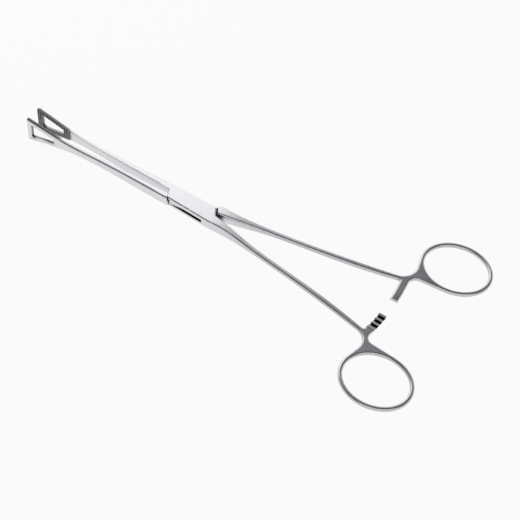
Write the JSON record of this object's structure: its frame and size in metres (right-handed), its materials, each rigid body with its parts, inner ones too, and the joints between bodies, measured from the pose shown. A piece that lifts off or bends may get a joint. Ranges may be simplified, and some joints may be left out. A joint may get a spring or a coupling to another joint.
{
  "type": "ring-handled grasping forceps",
  "caption": "Long box-lock forceps with ring handles, ratchet racks and wide triangular windowed grasping jaws with cross serrations.",
  "frame": {"origin": "the point where the pivot axis meets the lower face of the box", "axes": "+X from the jaws towards the finger rings along the instrument's middle line, +Y towards the insert half's arm, +Z along the pivot axis, up through the box"},
  "size_m": [0.2012, 0.0894, 0.0118],
  "materials": {
    "steel_box_half": "satin polished stainless steel",
    "steel_insert_half": "satin polished stainless steel",
    "steel_pin": "ground flush stainless steel"
  },
  "bodies": {
    "box_body": {"box_half": "steel_box_half", "pivot_pin": "steel_pin"},
    "insert_body": {"insert_half": "steel_insert_half"}
  },
  "joints": [
    {"name": "box_joint", "type": "hinge", "parent": "box_body", "child": "insert_body", "pos_m": [0, 0, 0.0024], "axis": [0, 0, 1], "range_deg": [-4.14, 60]}
  ]
}
